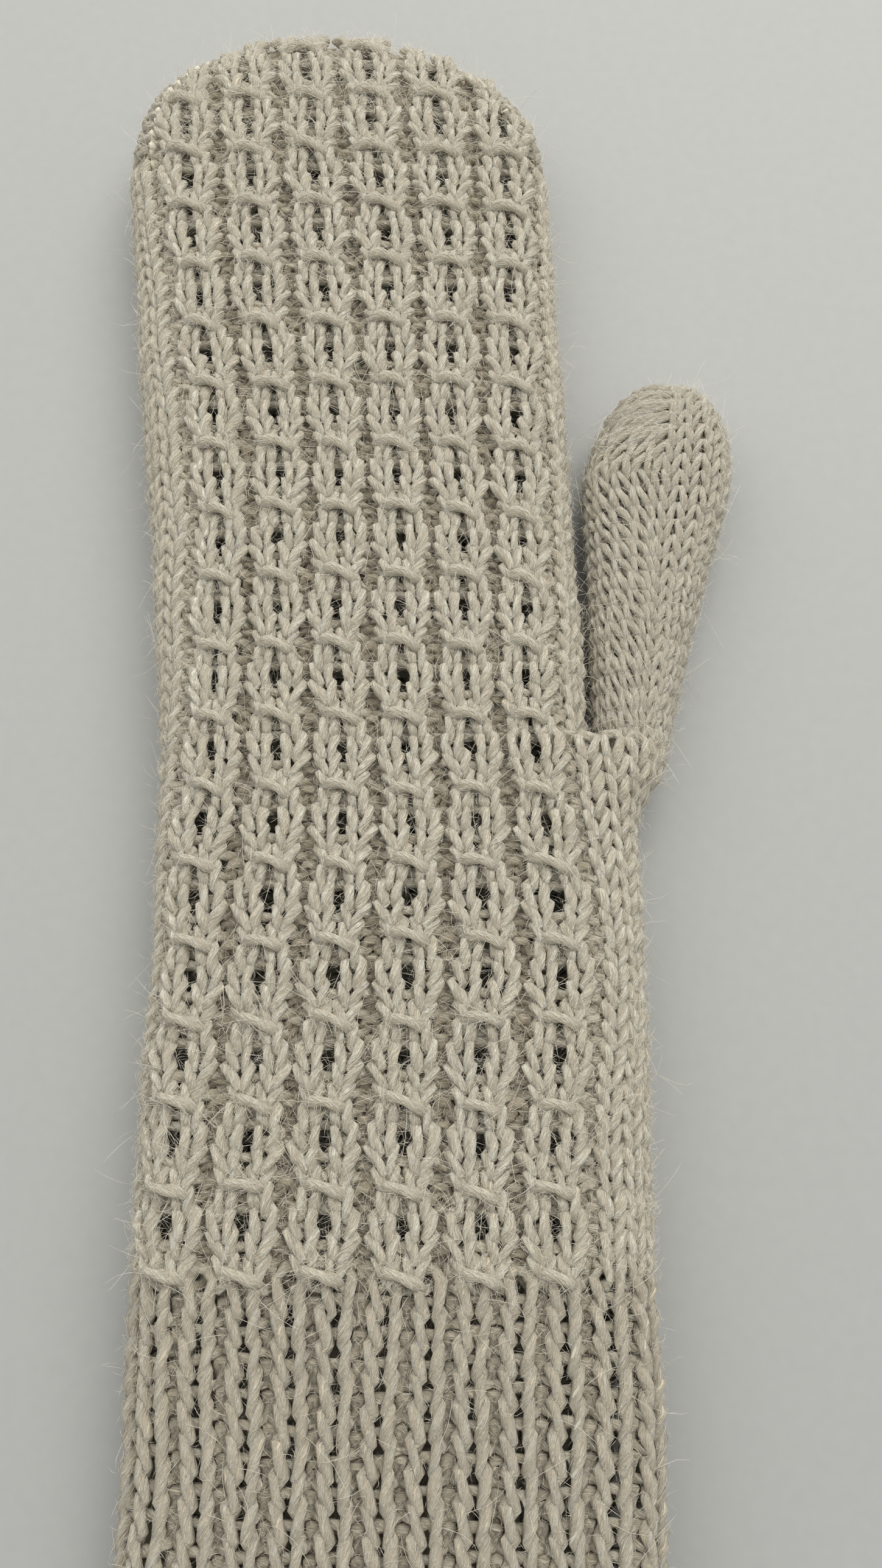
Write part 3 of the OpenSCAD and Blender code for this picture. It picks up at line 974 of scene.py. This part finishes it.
def makeTwistGroup():
    # two plies wound round each other, with fine fibres along them
    group = bpy.data.node_groups.new("twistedWool", "ShaderNodeTree")
    socketOf(group, "Turns", "NodeSocketFloat", "INPUT", 0.62)
    socketOf(group, "Fibre scale", "NodeSocketFloat", "INPUT", 9.0)
    socketOf(group, "Ply", "NodeSocketFloat", "OUTPUT")
    socketOf(group, "Fibre", "NodeSocketFloat", "OUTPUT")
    socketOf(group, "Height", "NodeSocketFloat", "OUTPUT")
    given, result = node(group, "NodeGroupInput"), node(group, "NodeGroupOutput")
    yarnUv = node(group, "ShaderNodeUVMap", uv_map="yarnMap")
    parts = node(group, "ShaderNodeSeparateXYZ")
    group.links.new(yarnUv.outputs[0], parts.inputs[0])
    along, around = parts.outputs[0], parts.outputs[1]
    turned = maths(group, "MULTIPLY", along, given.outputs["Turns"])
    twist = maths(group, "SUBTRACT", around, turned)
    wave = maths(group, "COSINE", maths(group, "MULTIPLY", twist, 4 * math.pi))
    ply = maths(group, "ADD", maths(group, "MULTIPLY", wave, 0.5), 0.5)
    joined = node(group, "ShaderNodeCombineXYZ")
    group.links.new(maths(group, "MULTIPLY", along, 0.22), joined.inputs[0])
    group.links.new(maths(group, "MULTIPLY", twist, 2.2), joined.inputs[1])
    strands, fine = node(group, "ShaderNodeTexNoise"), node(group, "ShaderNodeTexNoise")
    for noise, factor in ((strands, 0.4), (fine, 1.0)):
        noise.inputs["Detail"].default_value = 3
        noise.inputs["Roughness"].default_value = 0.6
        group.links.new(joined.outputs[0], noise.inputs["Vector"])
        scale = maths(group, "MULTIPLY", given.outputs["Fibre scale"], factor)
        group.links.new(scale, noise.inputs["Scale"])
    broadPart = maths(group, "MULTIPLY", strands.outputs[0], 0.55)
    both = maths(group, "ADD", broadPart, maths(group, "MULTIPLY", fine.outputs[0], 0.45))
    fibre = maths(group, "MULTIPLY", maths(group, "SUBTRACT", both, 0.4), 4.5, clamp=True)
    height = maths(group, "ADD", maths(group, "MULTIPLY", ply, 0.45), fibre)
    group.links.new(ply, result.inputs["Ply"])
    group.links.new(fibre, result.inputs["Fibre"])
    group.links.new(height, result.inputs["Height"])
    return group


def makeCloudGroup():
    # soft change of shade from place to place, with a few grey patches
    group = bpy.data.node_groups.new("woolShade", "ShaderNodeTree")
    socketOf(group, "Scale", "NodeSocketFloat", "INPUT", 60.0)
    socketOf(group, "Shade", "NodeSocketFloat", "OUTPUT")
    socketOf(group, "Fleck", "NodeSocketFloat", "OUTPUT")
    given, result = node(group, "NodeGroupInput"), node(group, "NodeGroupOutput")
    place = node(group, "ShaderNodeTexCoord")
    broad = node(group, "ShaderNodeTexNoise")
    fine = node(group, "ShaderNodeTexNoise")
    for noise, factor in ((broad, 1.0), (fine, 14.0)):
        noise.inputs["Detail"].default_value = 3
        group.links.new(place.outputs["Object"], noise.inputs["Vector"])
        group.links.new(maths(group, "MULTIPLY", given.outputs["Scale"], factor), noise.inputs["Scale"])
    fleck = maths(group, "MULTIPLY", maths(group, "SUBTRACT", fine.outputs[0], 0.62), 6.0, clamp=True)
    group.links.new(broad.outputs[0], result.inputs["Shade"])
    group.links.new(fleck, result.inputs["Fleck"])
    return group


twistGroup, cloudGroup = makeTwistGroup(), makeCloudGroup()


def mixed(tree, factor, a, b, blend="MIX"):
    made = node(tree, "ShaderNodeMix", data_type="RGBA", blend_type=blend)
    colours = [s for s in made.inputs if s.type == "RGBA"]
    for slot, value in zip(colours, (a, b)):
        if isinstance(value, tuple):
            slot.default_value = value + (1,)
        else:
            tree.links.new(value, slot)
    if isinstance(factor, (int, float)):
        made.inputs[0].default_value = factor
    else:
        tree.links.new(factor, made.inputs[0])
    return [s for s in made.outputs if s.type == "RGBA"][0]


def woolMaterial(name, values):
    material = bpy.data.materials.new(name)
    material.use_nodes = True
    tree = material.node_tree
    shader = tree.nodes["Principled BSDF"]
    twist, cloud = node(tree, "ShaderNodeGroup"), node(tree, "ShaderNodeGroup")
    twist.node_tree, cloud.node_tree = twistGroup, cloudGroup
    twist.inputs["Turns"].default_value = values["turns"]
    twist.inputs["Fibre scale"].default_value = values["fibreScale"]
    cloud.inputs["Scale"].default_value = values["shadeScale"]
    # painted light and shade from the points: sunk parts are mixed towards the dark colour as painted
    # shade, proud parts towards the bright colour as painted light
    paintedShading = node(tree, "ShaderNodeAttribute", attribute_name="paintedShading")
    deep = maths(tree, "MULTIPLY", paintedShading.outputs["Fac"], -values["paintedShadingStrength"], clamp=True)
    light = maths(tree, "MULTIPLY", paintedShading.outputs["Fac"], values["paintedShadingStrength"], clamp=True)
    base = mixed(tree, cloud.outputs["Shade"], values["warm"], values["cool"])
    # painted shade in the grooves between fibres and between the two plies
    gaps = maths(tree, "SUBTRACT", values["strandEdge"], twist.outputs["Fibre"])
    between = maths(tree, "MULTIPLY", gaps, 4.0, clamp=True)
    plyGap = maths(tree, "SUBTRACT", values["plyEdge"], twist.outputs["Ply"])
    crease = maths(tree, "MULTIPLY", plyGap, 1.6, clamp=True)
    paintedCreaseShade = maths(tree, "ADD", between, crease, clamp=True)
    base = mixed(tree, maths(tree, "MULTIPLY", paintedCreaseShade, values["creaseShadeMix"]), base, values["dark"])
    base = mixed(tree, deep, base, values["dark"])
    base = mixed(tree, maths(tree, "MULTIPLY", light, 0.6), base, values["paintedHighlight"])
    fleck = maths(tree, "MULTIPLY", cloud.outputs["Fleck"], values["fleck"])
    base = mixed(tree, fleck, base, values["grey"])
    tree.links.new(base, shader.inputs["Base Color"])
    rough = maths(tree, "ADD", maths(tree, "MULTIPLY", twist.outputs["Fibre"], 0.2), 0.76)
    tree.links.new(rough, shader.inputs["Roughness"])
    bump = node(tree, "ShaderNodeBump")
    bump.inputs["Strength"].default_value = values["bump"]
    bump.inputs["Distance"].default_value = values["bumpDepth"]
    tree.links.new(twist.outputs["Height"], bump.inputs["Height"])
    tree.links.new(bump.outputs[0], shader.inputs["Normal"])
    shader.inputs["Sheen Weight"].default_value = values["sheen"]
    shader.inputs["Sheen Roughness"].default_value = values["sheenRough"]
    shader.inputs["Sheen Tint"].default_value = values["sheenTint"] + (1,)
    shader.inputs["Specular IOR Level"].default_value = values["gloss"]
    shader.inputs["Subsurface Weight"].default_value = values["softness"]
    shader.inputs["Subsurface Radius"].default_value = values["glow"]
    shader.inputs["Subsurface Scale"].default_value = values["glowDepth"]
    return material


cream = {
    "warm": (0.945, 0.885, 0.715),
    "cool": (0.925, 0.885, 0.76),
    # the dark colour is painted shade for sunk parts and grooves; the bright colour is painted light on
    # proud parts
    "dark": (0.66, 0.56, 0.41),
    "paintedHighlight": (0.97, 0.93, 0.82),
    "grey": (0.50, 0.46, 0.40),
    "turns": yarn["mapLength"] / yarn["turnLength"],
    "strandEdge": 0.56,
    "plyEdge": 0.4,
    "fibreScale": 9.0,
    "shadeScale": 60.0,
    "paintedShadingStrength": 0.5,
    "creaseShadeMix": 0.7,
    "fleck": 0.22,
    "bump": 1.0,
    "bumpDepth": 0.0007,
    "sheen": 0.35,
    "sheenRough": 0.45,
    "sheenTint": (0.93, 0.90, 0.84),
    "gloss": 0.25,
    "softness": 0.12,
    "glow": (1.0, 0.85, 0.6),
    "glowDepth": 0.0015,
}
cableWool = woolMaterial("cable_wool", cream)
plainCream = dict(cream, warm=(0.93, 0.87, 0.705), fibreScale=10.0, shadeScale=75.0)
# the cuff's wool is painted darker as painted shade, for the weaker light over the cuff
shadedRibCream = dict(cream, warm=(0.72, 0.665, 0.535), cool=(0.69, 0.655, 0.55), shadeScale=50.0)
endCream = dict(cream, shadeScale=90.0, creaseShadeMix=0.5)
haloCream = dict(cream, warm=(0.96, 0.90, 0.76), cool=(0.93, 0.88, 0.77), creaseShadeMix=0.0, softness=0.0)
plainWool = woolMaterial("plain_wool", plainCream)
shadedRibWool = woolMaterial("rib_wool_painted_shade", shadedRibCream)
endWool = woolMaterial("yarn_end_wool", endCream)
halo = woolMaterial("loose_fibre", haloCream)
print("materials mixed")

# ---------- pieces ----------
wrapped = {"wrist": (-95.0, -75.0), "knuckle": (26.0, 44.0), "finger": (73.0, 91.0)}


def foldAlong(piece, parent, child, low, high):
    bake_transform(piece)


def thumbFold(piece):
    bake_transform(piece)


def carry(piece, name):
    # each piece on one body follows that body; pieces that join two bodies are only fixed in place
    if name.startswith(("cuff_lower", "cast_on")):
        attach(piece, "cuff")
    elif name.startswith(("cuff_upper", "hand_")):
        foldAlong(piece, "cuff", "hand", *wrapped["wrist"])
    elif name.startswith("knuckle"):
        foldAlong(piece, "hand", "fingers", *wrapped["knuckle"])
    elif name.startswith("finger"):
        foldAlong(piece, "fingers", "fingertips", *wrapped["finger"])
    elif name.startswith("crown"):
        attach(piece, "fingertips")
    elif name.startswith("thumb_lower"):
        thumbFold(piece)
    else:
        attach(piece, "thumb")


pieceList = {
    # piece: (material, record slot, fibres, CAD nodes it stands for)
    "cast_on": (shadedRibWool, "rib_knit", 900, ["cast_on_edge"]),
    "cuff_lower": (shadedRibWool, "rib_knit", 17000, ["ribbed_cuff"]),
    "cuff_upper": (shadedRibWool, "rib_knit", 9500, ["wrist_rounds"]),
    "hand_back": (cableWool, "cable_knit", 29000, ["hand_back_cables"]),
    "hand_palm": (plainWool, "plain_knit", 4500, ["hand_palm", "hand_outer_band"]),
    "knuckle_back": (
        cableWool,
        "cable_knit",
        40000,
        ["upper_hand_cables", "knuckle_rounds", "upper_inner_band", "finger_cables"],
    ),
    "knuckle_palm": (
        plainWool,
        "plain_knit",
        7000,
        ["hand_thumb_band", "upper_hand_palm", "upper_outer_band", "thumb_crotch_web", "finger_palm"],
    ),
    "finger_back": (
        cableWool,
        "cable_knit",
        32000,
        ["fingertip_cables", "finger_rounds", "finger_inner_band", "fingertip_inner_band"],
    ),
    "finger_palm": (
        plainWool,
        "plain_knit",
        5000,
        ["fingertip_palm", "finger_outer_band", "fingertip_outer_band"],
    ),
    "crown_back": (cableWool, "cable_knit", 15000, ["crown_rounds"]),
    "crown_palm": (plainWool, "plain_knit", 2000, []),
    "crown_edge": (plainWool, "plain_knit", 6000, []),
    "crown_end": (plainWool, "plain_knit", 150, ["crown_closure"]),
    "thumb_lower": (plainWool, "plain_knit", 13000, ["thumb_back", "thumb_front", "thumb_root_rounds"]),
    "thumb_tip": (plainWool, "plain_knit", 5500, ["thumb_tip_rounds"]),
    "thumb_end": (plainWool, "plain_knit", 80, ["thumb_closure"]),
    "cast_on_tail_yarn": (endWool, "yarn_end", 0, ["cast_on_tail"]),
    "crown_tail_yarn": (endWool, "yarn_end", 0, ["crown_tail"]),
    "thumb_tail_yarn": (endWool, "yarn_end", 0, ["thumb_tail"]),
}

for name, (material, recordSlot, amount, nodes) in pieceList.items():
    skein = skeins[name]
    pieceName = name if name.endswith("yarn") else name + "_knit"
    piece = yarnPiece(pieceName, skein)
    piece.data.materials.append(material)
    carry(piece, name)
    if nodes:
        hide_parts(*nodes)
    parts = math.ceil(amount / fuzz["most"])
    for part in range(parts):
        fluff = fuzzPiece(name + "_fuzz" + str(part + 1), skein, amount // parts)
        fluff.data.materials.append(halo)
        carry(fluff, name)
    print("made", name, len(piece.data.polygons))

# ---------- floor and light ----------
table = {
    "size": 6.0,
    "drop": 0.0006,
    "grain": 420,
    "dark": (0.425, 0.43, 0.423),
    "light": (0.465, 0.47, 0.462),
    "roughness": 0.7,
}
lamps = {
    # name: (place, aim, size, power, colour)
    "window": ((0.36, 0.66, 0.85), (0.02, 0.08, 0), 0.9, 8.5, (1.0, 0.98, 0.93)),
    "fill": ((-0.6, 0.5, 1.0), (0, 0, 0), 1.3, 4.2, (1.0, 0.985, 0.94)),
}
room = {"colour": (0.95, 0.955, 0.93, 1), "strength": 0.54}


def paleFloor(values):
    bpy.ops.mesh.primitive_plane_add(size=values["size"], location=(0, 0, -values["drop"]))
    floor = bpy.context.object
    floor.name = "pale_table"
    material = bpy.data.materials.new("pale_table")
    material.use_nodes = True
    tree = material.node_tree
    shader = tree.nodes["Principled BSDF"]
    noise = node(tree, "ShaderNodeTexNoise")
    noise.inputs["Scale"].default_value = values["grain"]
    noise.inputs["Detail"].default_value = 6
    place = node(tree, "ShaderNodeTexCoord")
    tree.links.new(place.outputs["Object"], noise.inputs["Vector"])
    colour = mixed(tree, noise.outputs[0], values["dark"], values["light"])
    tree.links.new(colour, shader.inputs["Base Color"])
    shader.inputs["Roughness"].default_value = values["roughness"]
    floor.data.materials.append(material)


def softLight(name, place, aim, size, power, colour):
    bpy.ops.object.light_add(type="AREA", location=place)
    lamp = bpy.context.object
    lamp.name = name
    lamp.data.shape = "DISK"
    lamp.data.size = size
    lamp.data.energy = power
    lamp.data.color = colour
    lamp.rotation_euler = (Vector(aim) - Vector(place)).to_track_quat("-Z", "Y").to_euler()


bpy.ops.object.select_all(action="DESELECT")
paleFloor(table)
for lampName, lampValues in lamps.items():
    softLight(lampName, *lampValues)
bpy.context.scene.view_settings.view_transform = "Standard"
world = bpy.data.worlds.new("soft_room")
bpy.context.scene.world = world
world.use_nodes = True
backdrop = world.node_tree.nodes["Background"]
backdrop.inputs[0].default_value = room["colour"]
backdrop.inputs[1].default_value = room["strength"]
print("stage set")
